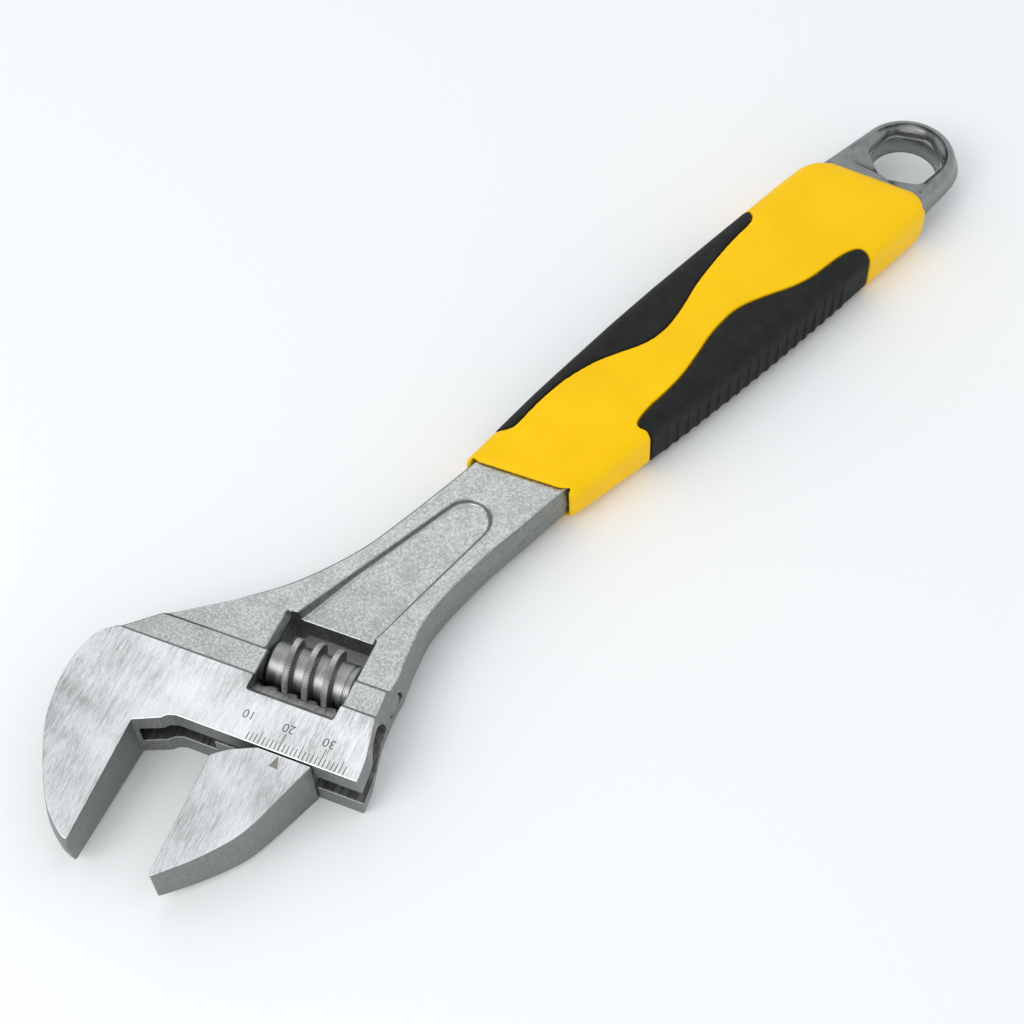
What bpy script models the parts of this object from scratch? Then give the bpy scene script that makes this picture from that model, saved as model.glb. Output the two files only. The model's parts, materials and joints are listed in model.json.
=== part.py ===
"""Adjustable wrench, 300 mm class: forged body, sliding jaw, knurled worm on its pin, and a two-colour grip.

The handle runs along +X and the tool lies flat on Z = 0.  The head is set at HEAD_ANGLE to the handle, and
its own coordinates are u, from the fixed jaw's face in the direction that the jaw opens, and v, from the
inner corner towards the handle.  s and t run along the handle and across it, towards the opening side.
"""

import math

import bmesh
import bpy
from mathutils import Matrix, Vector

MM = 0.001

# ---- Driving dimensions, in millimetres -------------------------------------------------------------------
HEAD_ANGLE = math.radians(22.5)
AXIS_U = 15.7  # where the handle's centreline crosses the line v = 0
HANDLE_LENGTH = 251.6  # from that crossing to the centre of the hanging hole
HEAD_THICKNESS = 16.2
GAP = 0.3  # clearance between pieces that touch

# Head
JAW_DEPTH = 31.4
FIXED_JAW_SHORTER = 0.9
JAW_TIP_THICKNESS = 10.8
FIXED_JAW_WIDTH = 20.6
HEAD_END = 54.3
SCALE_EDGE = 4.5
FACE_END = 20.4
BAND_END = 27.7
STEP_DROP = 0.8
STEP_RUN = 0.7
CHEEK_SLOT = 5.6
DRAFT = 1.1  # how far the forged sides bulge at the parting line
JAW_OPENING = 20.6

# Jaw slide and worm
RIB_V = 17.2
RIB_RADIUS = 5.2
RIB_BEFORE = 2.6  # rib behind the jaw's face
RIB_AFTER = 29.4  # rib past the jaw's face
WEB_AFTER = 22.0
WORM_RADIUS = 8.0
WORM_CORE = 5.9
WORM_PITCH = 5.0
WORM_CREST = 1.6
WORM_ROOT = 2.6
WORM_TURNS = 3.0
THREAD_START = 24.2
RACK_TIP_CLEARANCE = 0.4
RACK_SIDE_CLEARANCE = 0.35
WINDOW_START = 20.6
WINDOW_END = 42.5
WINDOW_REAR = 39.8
WINDOW_FRONT = 16.4
WINDOW_CHAMFER = 1.4
WINDOW_SLOPE = 1.5  # width of the sloped edge along its far wall
PIN_RADIUS = 2.2
PIN_HEAD_RADIUS = 2.85
PIN_HEAD_LENGTH = 6.5
PIN_BLIND = 6.5  # depth of the pin's seat in the window's far wall
SPRING_RADIUS = 3.6
SPRING_WIRE = 0.4
SPRING_LENGTH = 4.6
SPRING_COILS = 3.5

# Handle
SHANK_THICKNESS = 10.8
WAIST_HALF = 10.5
HANDLE_END_HALF = 14.8
HANDLE_FLARE = 24.0  # length over which the handle widens towards the ring
RING_RADIUS = 13.3
RING_THICKNESS = 10.0
RING_HOLE = 9.2
HEX_FLATS = 20.0
HEX_DEPTH = 2.6
PANEL_END = 90.5
PANEL_DEPTH = 1.3
PANEL_RAMP = 1.9
PANEL_HALF_NEAR = 9.4
PANEL_HALF_FAR = 5.6

# Grip
GRIP_FRONT_V = 94.8
GRIP_LENGTH = 135.7
GRIP_SLANT = 0.29  # slant and bow of the grip's rear edge
GRIP_BOW = 0.0105
GRIP_HALF_FRONT = 13.6
GRIP_HALF_REAR = 17.6
GRIP_SWELL = 0.65  # share of the grip's length over which it widens
GRIP_FRONT_THICKNESS = 14.0
GRIP_CORNER = 5.0
GRIP_LIP = 0.7
PAD_THICKNESS = 1.3

WORM_V = RIB_V + RIB_RADIUS + RACK_TIP_CLEARANCE + WORM_CORE
GRIP_THICKNESS = HEAD_THICKNESS
HALF = HEAD_THICKNESS / 2
FAR = 400.0
LEFT, RIGHT = -1, 1


# ---- Coordinates ------------------------------------------------------------------------------------------
def head(u, v):
    """Handle coordinates (s, t) of a point given in the head's (u, v)."""
    du = u - AXIS_U
    return (
        du * math.sin(HEAD_ANGLE) + v * math.cos(HEAD_ANGLE),
        du * math.cos(HEAD_ANGLE) - v * math.sin(HEAD_ANGLE),
    )


def to_xy(points):
    """Model X and Y, in metres, of (s, t) points."""
    return [(s * MM, -t * MM) for s, t in points]


def head_matrix():
    """Places an object built in (u, v, z) metres: its X along u and its Y along v."""
    s, t = head(0, 0)
    turn = Matrix.Rotation(HEAD_ANGLE - math.radians(90), 4, "Z")
    return Matrix.Translation((s * MM, -t * MM, 0)) @ turn


def spline(points, steps):
    """Points on a Catmull-Rom curve through the given ones."""
    ends = [points[0]] + list(points) + [points[-1]]
    out = []
    for a, b, c, d in zip(ends, ends[1:], ends[2:], ends[3:]):
        for step in range(steps):
            w = step / steps
            out.append(
                tuple(
                    q + ((r - p) + (2 * p - 5 * q + 4 * r - e) * w + (3 * q - p - 3 * r + e) * w * w) * w / 2
                    for p, q, r, e in zip(a, b, c, d)
                )
            )
    out.append(tuple(points[-1]))
    return out


def arc(centre, radius, start, end, steps):
    """Points on an arc, with its angles in degrees."""
    angles = [math.radians(start + (end - start) * i / steps) for i in range(steps + 1)]
    return [(centre[0] + radius * math.cos(a), centre[1] + radius * math.sin(a)) for a in angles]


def inset(points, distance):
    """The closed outline moved inwards, for points that run counter-clockwise."""
    moved = []
    for before, here, after in zip(points[-1:] + points[:-1], points, points[1:] + points[:1]):
        a = (Vector(here) - Vector(before)).normalized()
        b = (Vector(after) - Vector(here)).normalized()
        normal = Vector((-a.y - b.y, a.x + b.x)).normalized()
        lean = max(0.5, normal.dot(Vector((-a.y, a.x))))
        moved.append(tuple(Vector(here) + normal * distance / lean))
    return moved


# ---- Mesh helpers -----------------------------------------------------------------------------------------
def make_object(name, bm, matrix=None):
    """A mesh object from a bmesh, with its faces turned outwards."""
    bmesh.ops.recalc_face_normals(bm, faces=bm.faces)
    mesh = bpy.data.meshes.new(name)
    bm.to_mesh(mesh)
    bm.free()
    obj = bpy.data.objects.new(name, mesh)
    bpy.context.scene.collection.objects.link(obj)
    if matrix is not None:
        obj.data.transform(matrix)
    return obj


def loft(name, rings, matrix=None, strip_caps=False):
    """A closed body through rings of the same count.  Strip caps suit a ring that mirrors about Z = 0."""
    bm = bmesh.new()
    rows = [[bm.verts.new(point) for point in ring] for ring in rings]
    for row, following in zip(rows, rows[1:]):
        for i, vert in enumerate(row):
            j = (i + 1) % len(row)
            bm.faces.new((vert, row[j], following[j], following[i]))
    for row in (rows[0][::-1], rows[-1]):
        if not strip_caps:
            bm.faces.new(row)
            continue
        for i in range(len(row) // 2 - 1):
            bm.faces.new((row[i], row[i + 1], row[-2 - i], row[-1 - i]))
    return make_object(name, bm, matrix)


def prism(name, outline, low, high, matrix=None):
    """An outline in metres, extruded from one height to another, both in millimetres."""
    return loft(name, [[(x, y, z * MM) for x, y in outline] for z in (low, high)], matrix)


def box(name, u_range, v_range, z_range, matrix=None):
    """A box in the head's coordinates."""
    (u0, u1), (v0, v1) = u_range, v_range
    outline = [(u0 * MM, v0 * MM), (u1 * MM, v0 * MM), (u1 * MM, v1 * MM), (u0 * MM, v1 * MM)]
    return prism(name, outline, *z_range, matrix or head_matrix())


def turned(name, profile, centre_v, sides):
    """A body turned about a line along u at centre_v, from (u, radius) points."""
    rings = []
    for u, radius in profile:
        angles = [2 * math.pi * i / sides for i in range(sides)]
        rings.append(
            [(u * MM, (centre_v + radius * math.cos(a)) * MM, radius * math.sin(a) * MM) for a in angles]
        )
    return loft(name, rings, head_matrix())


def side_profile(name, profile, reach, matrix):
    """A body extruded along the first axis of its frame, from (v, z) points."""
    rings = [[(u * MM, v * MM, z * MM) for v, z in profile] for u in (-reach, reach)]
    return loft(name, rings, matrix)


def boolean(obj, other, operation):
    """Joins, cuts or intersects two meshes, and drops the second."""
    modifier = obj.modifiers.new("boolean", "BOOLEAN")
    modifier.operation = operation
    modifier.solver = "EXACT"
    modifier.object = other
    graph = bpy.context.evaluated_depsgraph_get()
    mesh = bpy.data.meshes.new_from_object(obj.evaluated_get(graph))
    obj.modifiers.clear()
    obj.data = mesh
    bpy.data.objects.remove(other)
    return obj


def tidy(obj, angle=0.5):
    """Merges doubled points and flat facets that a Boolean leaves."""
    bm = bmesh.new()
    bm.from_mesh(obj.data)
    bmesh.ops.remove_doubles(bm, verts=bm.verts, dist=0.00001)
    bmesh.ops.dissolve_limit(bm, angle_limit=math.radians(angle), verts=bm.verts, edges=bm.edges)
    bmesh.ops.triangulate(bm, faces=bm.faces, ngon_method="EAR_CLIP")
    bm.to_mesh(obj.data)
    bm.free()


# ---- Forged body ------------------------------------------------------------------------------------------
def handle_edge(side, grow=0.0):
    """One edge of the handle from the waist to the ring, as (s, t) points going away from the head."""
    end = HANDLE_LENGTH - RING_RADIUS * 1.5
    halves = [
        (grip_front(-WAIST_HALF) - 4, WAIST_HALF),
        (end - HANDLE_FLARE, WAIST_HALF),
        (end, HANDLE_END_HALF),
    ]
    return [(s, side * (half + grow)) for s, half in halves]


def body_outline():
    """The forging's outline at its parting line, counter-clockwise in X and Y, from the fixed jaw's tip."""
    waist = grip_front(0)
    tip = JAW_DEPTH - FIXED_JAW_SHORTER
    opening_edge = [
        head(HEAD_END, SCALE_EDGE - 1),
        head(HEAD_END - 0.6, FACE_END * 0.5),
        head(HEAD_END - 3.0, FACE_END),
        head(HEAD_END - 3.5, BAND_END),
    ]
    flare = spline(
        [head(HEAD_END - 3.2, 33.0), head(HEAD_END - 3.9, 41.0), (waist * 0.60, 12.5), (waist * 0.77, 10.6),
         handle_edge(RIGHT)[0]],
        5,
    )
    ring = arc((HANDLE_LENGTH, 0), RING_RADIUS, 80, -80, 22)
    ring = handle_edge(RIGHT)[1:] + ring + handle_edge(LEFT)[:0:-1]
    back = spline(
        [handle_edge(LEFT)[0], (waist * 0.85, -10.6), (waist * 0.74, -10.8), (waist * 0.60, -11.7),
         (waist * 0.45, -15.5), (waist * 0.33, -21.1), (waist * 0.22, -27.8), head(-6.8, BAND_END)],
        4,
    )
    jaw_back = spline(
        [head(FACE_END - 35.4, FACE_END), head(-18.6, 16.8), head(-FIXED_JAW_WIDTH, 8.0),
         head(-FIXED_JAW_WIDTH + 1.3, -0.12 * tip), head(-15.6, -0.42 * tip),
         head(-8.5, -0.79 * tip), head(-1.9, -tip + 0.9), head(0.8, -tip + 0.6)],
        5,
    )
    return to_xy(opening_edge + flare + ring + back + jaw_back)


def jaw_profile():
    """(v, z) points of the jaws' upper face, which thins from the cheeks to the tips."""
    slope = (HALF - JAW_TIP_THICKNESS / 2) / (JAW_DEPTH + SCALE_EDGE)
    beyond = 10
    return [(-JAW_DEPTH - beyond, JAW_TIP_THICKNESS / 2 - beyond * slope), (SCALE_EDGE, HALF)]


def height_profile():
    """(v, z) outline of the forging's side: the ground face, the band, and the shank down to the ring."""
    end = HANDLE_LENGTH * math.cos(HEAD_ANGLE)
    upper = jaw_profile() + [
        (FACE_END, HALF),
        (FACE_END + STEP_RUN, HALF - STEP_DROP),
        (BAND_END, HALF - STEP_DROP),
        (BAND_END + STEP_RUN, HALF - 2 * STEP_DROP),
        (GRIP_FRONT_V - 8, SHANK_THICKNESS / 2),
        (end - 30, SHANK_THICKNESS / 2),
        (end - 22, RING_THICKNESS / 2),
        (end + FAR, RING_THICKNESS / 2),
    ]
    return upper + [(v, -z) for v, z in upper[::-1]]


def gap_outline():
    """The space between the jaws and in front of the cheeks, in the head's coordinates."""
    throat = [(9.0, SCALE_EDGE), (7.2, 3.9), (6.0, 2.7), (0, 0)]
    points = [(0, -FAR), (FAR, -FAR), (FAR, SCALE_EDGE)] + throat
    return [(u * MM, v * MM) for u, v in points]


def cheek_slot():
    """The milled slot that the jaw's web runs in, with its round blind end."""
    reach = SCALE_EDGE + 1.5
    end = arc((reach - RIB_BEFORE - GAP - 0.1, RIB_V - RIB_RADIUS - reach), reach, 180, 270, 6)
    outline = end + [(HEAD_END + 20, end[-1][1]), (HEAD_END + 20, RIB_V), (end[0][0], RIB_V)]
    return prism(
        "slot", [(u * MM, v * MM) for u, v in outline], -CHEEK_SLOT / 2, CHEEK_SLOT / 2, head_matrix()
    )


def panel_cutter(face):
    """The sunk panel on one face of the shank, with its round far end and the ramp down into the window."""
    near = head(0, WINDOW_REAR - 12)[0]
    far = PANEL_END - PANEL_HALF_FAR
    outline = [(near, -PANEL_HALF_NEAR - 0.8), (near, PANEL_HALF_NEAR + 0.8)]
    outline += arc((far, 0), PANEL_HALF_FAR, 90, -90, 10)
    outline = to_xy(outline[1:] + outline[:1])
    wall = 1.0
    rings = [[(x, y, 0) for x, y in outline]]
    shifted = inset([(x, y) for x, y in outline], -wall * MM)
    rings.append([(x, y, (SHANK_THICKNESS / 2 - PANEL_DEPTH - 0.6) * MM) for x, y in outline])
    rings.append([(x, y, (HALF + 0.2) * MM) for x, y in shifted])
    cutter = loft("panel", rings)
    floor_near = HALF - 2 * STEP_DROP - PANEL_DEPTH - PANEL_RAMP
    floor = SHANK_THICKNESS / 2 - PANEL_DEPTH
    ramp_end = WINDOW_REAR + 14
    start = WINDOW_REAR - 0.5
    profile = [
        (start, floor_near),
        (WINDOW_REAR, floor_near),
        (ramp_end, HALF - 2 * STEP_DROP - PANEL_DEPTH - 0.9),
        (GRIP_FRONT_V - 8, floor),
        (FAR, floor),
        (FAR, HALF + 10),
        (start, HALF + 10),
    ]
    cutter = boolean(cutter, side_profile("floor", profile, FAR, head_matrix()), "INTERSECT")
    if face < 0:
        cutter.data.transform(Matrix.Diagonal((1, 1, -1, 1)))
        cutter.data.flip_normals()
    return cutter


def window_cutter():
    """The worm's window, with the chamfer along its front edge on both faces."""
    inner = WINDOW_FRONT + WINDOW_CHAMFER
    deep = HALF - 1.3 * WINDOW_CHAMFER
    upper = [(inner, deep), (WINDOW_FRONT, HALF), (WINDOW_FRONT - 2, HALF + 2.6), (WINDOW_REAR, HALF + 2.6)]
    section = upper + [(v, -z) for v, z in upper[::-1]]
    rings = [[(u * MM, v * MM, z * MM) for v, z in section] for u in (WINDOW_START, WINDOW_END)]
    return loft("window", rings, head_matrix())


def window_edges():
    """The sloped edge along the window's far wall on each face, from the band to the panel."""
    surface = HALF - 2 * STEP_DROP
    for face in (-1, 1):
        section = [(0.1, 2.6), (-WINDOW_SLOPE, 0), (-WINDOW_SLOPE, -5), (0.1, -5)]
        section = [(WINDOW_START + u, face * (surface - deep)) for u, deep in section]
        ends = (BAND_END + STEP_RUN, WINDOW_REAR - 0.1)
        rings = [[(u * MM, v * MM, z * MM) for u, z in section] for v in ends]
        yield loft("edge", rings, head_matrix())


def ring_cutters():
    """The hanging hole: round through the middle, a hexagon and a long countersink at each face."""
    centre = (HANDLE_LENGTH, 0)
    hole = arc(centre, RING_HOLE, 0, 360, 28)[:-1]
    corner = HEX_FLATS / 2 / math.cos(math.radians(30))
    hexagon = arc(centre, corner, 0, 360, 6)[:-1]
    yield prism("hole", to_xy(hole), -FAR, FAR)
    for face in (-1, 1):
        levels = sorted((face * (RING_THICKNESS / 2 - HEX_DEPTH), face * FAR))
        yield prism("hexagon", to_xy(hexagon), *levels)
        rim = [(HANDLE_LENGTH - 17.5, 0)] + arc(centre, RING_RADIUS - 2.2, 125, -125, 18)[::-1]
        low = [(HANDLE_LENGTH - 11.5, 0)] + arc(centre, RING_HOLE + 0.3, 125, -125, 18)[::-1]
        top = face * (RING_THICKNESS / 2 + 0.01)
        bottom = face * (RING_THICKNESS / 2 - 1.2)
        levels = ((low, bottom), (rim, top), (rim, 3 * top))
        rings = [[(x, y, z * MM) for x, y in to_xy(points)] for points, z in levels]
        yield loft("countersink", rings)


def make_body():
    """The forging: fixed jaw, two cheeks, shank and hanging ring."""
    outline = body_outline()
    land = 0.6
    levels = [(-HALF - 1, 0.1), (-HALF, 0.0), (-land, -DRAFT), (land, -DRAFT), (HALF, 0.0), (HALF + 1, 0.1)]
    rings = [[(x, y, z * MM) for x, y in inset(outline, move * MM)] for z, move in levels]
    body = loft("body", rings)
    boolean(body, side_profile("heights", height_profile(), FAR, head_matrix()), "INTERSECT")
    boolean(body, prism("gap", gap_outline(), -FAR, FAR, head_matrix()), "DIFFERENCE")
    boolean(body, window_cutter(), "DIFFERENCE")
    for cutter in window_edges():
        boolean(body, cutter, "DIFFERENCE")
    boolean(body, cheek_slot(), "DIFFERENCE")
    bore = [(-RIB_BEFORE - GAP - 0.7, RIB_RADIUS + GAP), (HEAD_END + 20, RIB_RADIUS + GAP)]
    boolean(body, turned("bore", bore, RIB_V, 28), "DIFFERENCE")
    head_seat = WINDOW_END + 1.5
    pin_hole = [
        (WINDOW_START - PIN_BLIND - GAP, PIN_RADIUS + GAP),
        (head_seat, PIN_RADIUS + GAP),
        (head_seat, PIN_HEAD_RADIUS + GAP),
        (HEAD_END + 20, PIN_HEAD_RADIUS + GAP),
    ]
    boolean(body, turned("pin_hole", pin_hole, WORM_V, 20), "DIFFERENCE")
    for face in (-1, 1):
        boolean(body, panel_cutter(face), "DIFFERENCE")
    for cutter in ring_cutters():
        boolean(body, cutter, "DIFFERENCE")
    tidy(body)
    return body


# ---- Moving jaw -------------------------------------------------------------------------------------------
def jaw_outline():
    """The moving jaw's block in the head's coordinates, counter-clockwise from its inner corner."""
    top = SCALE_EDGE - GAP
    back = spline(
        [(22.5, top), (19.4, -4.4), (15.2, -0.48 * JAW_DEPTH), (9.3, -0.73 * JAW_DEPTH),
         (3.0, -0.93 * JAW_DEPTH), (0.6, -JAW_DEPTH)],
        4,
    )
    points = [(9.2, top), (3.6, 1.6), (0, -1.0), (0, -JAW_DEPTH + 0.7)] + back[::-1]
    return [((JAW_OPENING + u) * MM, v * MM) for u, v in points]


def rack_groove(index):
    """One groove of the rack: the space that a turn of the worm's thread passes through."""
    centre = THREAD_START + WORM_CREST / 2 + WORM_PITCH * (index + 0.5)
    wide = WORM_ROOT / 2 + RACK_SIDE_CLEARANCE
    narrow = WORM_CREST / 2 + RACK_SIDE_CLEARANCE
    low = WORM_V - WORM_RADIUS - GAP
    high = WORM_V - WORM_CORE + 0.5
    slope = WORM_PITCH / (2 * math.pi * (WORM_RADIUS + WORM_CORE) / 2)
    rings = []
    for z in (-RIB_RADIUS - 1, RIB_RADIUS + 1):
        shift = centre - slope * z
        corners = [(shift - narrow, low), (shift + narrow, low), (shift + wide, high), (shift - wide, high)]
        rings.append([(u * MM, v * MM, z * MM) for u, v in corners])
    return loft("groove", rings, head_matrix())


def make_jaw():
    """The moving jaw: its block, the web between the cheeks, and the round rib with the rack."""
    jaw = prism("movable_jaw", jaw_outline(), -HALF - 1, HALF + 1, head_matrix())
    upper = jaw_profile() + [(RIB_V, HALF)]
    profile = upper + [(v, -z) for v, z in upper[::-1]]
    boolean(jaw, side_profile("heights", profile, FAR, head_matrix()), "INTERSECT")
    start = JAW_OPENING - RIB_BEFORE
    web_end = JAW_OPENING + WEB_AFTER
    thickness = (GAP - CHEEK_SLOT / 2, CHEEK_SLOT / 2 - GAP)
    web = box("web", (start, web_end), (SCALE_EDGE - 0.5, RIB_V), thickness)
    heel = box("heel", (JAW_OPENING + 8.6, web_end - 2), (0, RIB_V), thickness)
    boolean(web, heel, "UNION")
    boolean(jaw, web, "UNION")
    end = JAW_OPENING + RIB_AFTER
    rib = [(start, RIB_RADIUS), (end - 0.6, RIB_RADIUS), (end, RIB_RADIUS - 0.6)]
    boolean(jaw, turned("rib", rib, RIB_V, 28), "UNION")
    first = math.floor((start - THREAD_START) / WORM_PITCH) - 1
    last = math.ceil((end - THREAD_START) / WORM_PITCH)
    for index in range(first, last):
        boolean(jaw, rack_groove(index), "DIFFERENCE")
    tidy(jaw)
    return jaw


# ---- Worm, its pin and its spring -------------------------------------------------------------------------
def make_worm():
    """The adjusting screw: a drum with its thread, bored for the pin and counterbored for the spring."""
    start, end = WINDOW_START + GAP, WINDOW_END - GAP
    chamfer = 0.5
    left = [(start, WORM_CORE - chamfer), (start + chamfer, WORM_CORE)]
    drum = left + [(end - chamfer, WORM_CORE), (end, WORM_CORE - chamfer)]
    worm = turned("worm", drum, WORM_V, 30)
    steps = round(28 * WORM_TURNS)
    rings = []
    for step in range(steps + 1):
        turn = WORM_TURNS * step / steps
        fade = min(1.0, 8 * (turn + 0.01), 8 * (WORM_TURNS + 0.01 - turn))
        top = WORM_CORE + (WORM_RADIUS - WORM_CORE) * fade
        angle = 2 * math.pi * turn
        u = THREAD_START + WORM_CREST / 2 + WORM_PITCH * turn
        section = [
            (u - WORM_ROOT / 2 - 0.1, WORM_CORE - 0.4),
            (u + WORM_ROOT / 2 + 0.1, WORM_CORE - 0.4),
            (u + WORM_CREST / 2, top),
            (u - WORM_CREST / 2, top),
        ]
        rings.append(
            [(a * MM, (WORM_V + r * math.cos(angle)) * MM, r * math.sin(angle) * MM) for a, r in section]
        )
    boolean(worm, loft("thread", rings, head_matrix()), "UNION")
    bore = [(0, PIN_RADIUS + GAP), (FAR, PIN_RADIUS + GAP)]
    boolean(worm, turned("pin_bore", bore, WORM_V, 20), "DIFFERENCE")
    pocket_radius = SPRING_RADIUS + SPRING_WIRE + GAP
    pocket = [(end - SPRING_LENGTH, pocket_radius), (FAR, pocket_radius)]
    boolean(worm, turned("spring_pocket", pocket, WORM_V, 20), "DIFFERENCE")
    tidy(worm)
    return worm


def make_pin():
    """The worm's axle: a slim shank with a larger head that closes the hole in the body's edge."""
    head_start = WINDOW_END + 1.5 + GAP
    head_end = head_start + PIN_HEAD_LENGTH
    profile = [
        (WINDOW_START - PIN_BLIND, PIN_RADIUS - 0.4),
        (WINDOW_START - PIN_BLIND + 0.4, PIN_RADIUS),
        (head_start, PIN_RADIUS),
        (head_start, PIN_HEAD_RADIUS),
        (head_end - 0.4, PIN_HEAD_RADIUS),
        (head_end, PIN_HEAD_RADIUS - 0.5),
    ]
    return turned("worm_pin", profile, WORM_V, 20)


def make_spring():
    """The worm's take-up spring, coiled round the pin inside the worm's end."""
    curve = bpy.data.curves.new("spring_path", "CURVE")
    curve.dimensions = "3D"
    curve.bevel_depth = SPRING_WIRE * MM
    curve.bevel_resolution = 1
    curve.use_fill_caps = True
    path = curve.splines.new("POLY")
    steps = round(16 * SPRING_COILS)
    path.points.add(steps)
    start = WINDOW_END - GAP - SPRING_LENGTH + GAP + SPRING_WIRE
    end = WINDOW_END - GAP - SPRING_WIRE
    for step in range(steps + 1):
        angle = 2 * math.pi * SPRING_COILS * step / steps
        u = start + (end - start) * step / steps
        v = WORM_V + SPRING_RADIUS * math.cos(angle)
        path.points[step].co = (u * MM, v * MM, SPRING_RADIUS * math.sin(angle) * MM, 1)
    coil = bpy.data.objects.new("spring_path", curve)
    bpy.context.scene.collection.objects.link(coil)
    mesh = bpy.data.meshes.new_from_object(coil.evaluated_get(bpy.context.evaluated_depsgraph_get()))
    bpy.data.objects.remove(coil)
    spring = bpy.data.objects.new("worm_spring", mesh)
    bpy.context.scene.collection.objects.link(spring)
    spring.data.transform(head_matrix())
    return spring


# ---- Grip -------------------------------------------------------------------------------------------------
def grip_front(t):
    """Where the grip starts on the handle: a line along the jaws' slide direction."""
    return (GRIP_FRONT_V + t * math.sin(HEAD_ANGLE)) / math.cos(HEAD_ANGLE)


def grip_rear(t):
    """Where the grip ends: a bowed line with the same slant."""
    return grip_front(0) + GRIP_LENGTH + GRIP_SLANT * t - GRIP_BOW * t**2


def ease(value, start, end):
    """Rises smoothly from 0 at start to 1 at end."""
    w = min(1.0, max(0.0, (value - start) / (end - start)))
    return w * w * (3 - 2 * w)


def grip_form(name, shrink, ends):
    """The grip's outer form, moved inwards by shrink, and longer at each end by ends."""
    rings = []
    stations = [(0.0, GRIP_LIP)]
    stations += [(share, 0.0) for share in (0.008, 0.06, 0.12, 0.2, 0.3, 0.42, 0.54, 0.65, 0.9)]
    stations += [(0.97, 0.15), (0.987, 0.6), (1.0, 1.8)]
    for share, lip in stations:
        lip = 0.0 if ends else lip
        swell = math.sin(math.pi / 2 * min(1.0, share / GRIP_SWELL))
        half = GRIP_HALF_FRONT + (GRIP_HALF_REAR - GRIP_HALF_FRONT) * swell - shrink - lip
        height = GRIP_FRONT_THICKNESS / 2 + (GRIP_THICKNESS - GRIP_FRONT_THICKNESS) / 2 * ease(share, 0, 0.2)
        height -= shrink + lip
        corner = GRIP_CORNER - shrink
        ring = []
        for ct, cz, first in ((1, 1, 0), (-1, 1, 90), (-1, -1, 180), (1, -1, 270)):
            centre = (ct * (half - corner), cz * (height - corner * 0.9))
            for t, z in arc((0, 0), corner, first, first + 90, 5):
                t, z = centre[0] + t, centre[1] + z * 0.9
                front, rear = grip_front(t) - ends, grip_rear(t) + ends
                ring.append(((front + (rear - front) * share) * MM, -t * MM, z * MM))
        rings.append(ring)
    return loft(name, rings, strip_caps=True)


def pad_zone(side, grow):
    """The area that one pad covers, seen from above, grown by a clearance."""
    if side == LEFT:
        edge = [(108.5, -13.6), (111.5, -10.8), (120, -11.5), (130, -11.6), (139.3, -10.1), (146, -7.7),
                (153, -5.0), (160, -4.5), (168, -6.2), (176, -8.7), (185, -10.6), (194, -12.0), (202, -12.8),
                (204.5, -15.4)]
    else:
        edge = [(134.0, 13.8), (133.0, 11.3), (138, 10.0), (145, 9.7), (152, 9.0), (159.5, 7.3), (166, 5.6),
                (172, 4.8), (178, 4.9), (185, 7.1), (192.5, 10.2), (199, 11.7), (206, 12.1), (211, 12.8),
                (214, 14.2), (215, 16)]
    curve = spline([(s, t) for s, t in edge], 3)
    outer = side * 30.0
    points = [(curve[0][0], outer)] + curve + [(curve[-1][0], outer)]
    outline = to_xy(points)
    area = sum(a[0] * b[1] - b[0] * a[1] for a, b in zip(outline, outline[1:] + outline[:1]))
    if area < 0:
        outline.reverse()
    return prism("zone", inset(outline, -grow * MM), -FAR, FAR)


def make_pad(side, name):
    """A soft pad that wraps one side of the grip."""
    pad = grip_form(name, 0.0, 0.0)
    boolean(pad, pad_zone(side, 0.0), "INTERSECT")
    boolean(pad, grip_form("inner", PAD_THICKNESS, 5.0), "DIFFERENCE")
    tidy(pad)
    return pad


def make_sleeve():
    """The hard sleeve: a tube over the handle with a shallow seat for each pad."""
    sleeve = grip_form("grip_sleeve", 0.0, 0.0)
    for side in (LEFT, RIGHT):
        seat = pad_zone(side, GAP)
        boolean(seat, grip_form("core", PAD_THICKNESS + GAP, 5.0), "DIFFERENCE")
        boolean(sleeve, seat, "DIFFERENCE")
    edge = handle_edge(RIGHT, DRAFT + GAP)
    edge = [(edge[0][0] - 30, edge[0][1])] + edge + [(edge[-1][0] + 30, edge[-1][1])]
    outline = edge + [(s, -t) for s, t in edge[::-1]]
    half = SHANK_THICKNESS / 2 + GAP
    boolean(sleeve, prism("cavity", to_xy(outline), -half, half), "DIFFERENCE")
    tidy(sleeve)
    return sleeve


# ---- Materials, joints and assembly -----------------------------------------------------------------------
def material(name, color, roughness, metallic):
    """A Principled material."""
    made = bpy.data.materials.new(name)
    made.use_nodes = True
    shader = made.node_tree.nodes["Principled BSDF"]
    shader.inputs["Base Color"].default_value = (*color, 1)
    shader.inputs["Roughness"].default_value = roughness
    shader.inputs["Metallic"].default_value = metallic
    return made


def pivot(name, point, root):
    """An empty on a joint's axis, with its X along the jaws' slide direction."""
    empty = bpy.data.objects.new(name, None)
    bpy.context.scene.collection.objects.link(empty)
    empty.parent = root
    frame = head_matrix()
    frame.translation = frame @ Vector((point[0] * MM, point[1] * MM, 0))
    empty.matrix_local = frame
    return empty


def attach(obj, parent, made):
    """Parents a piece, built in the handle's frame, with its material and smooth shading."""
    if parent.parent:
        obj.data.transform(parent.matrix_local.inverted())
    obj.parent = parent
    obj.data.materials.clear()
    obj.data.materials.append(made)
    obj.data.shade_smooth()
    obj.data.set_sharp_from_angle(angle=math.radians(35))


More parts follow.
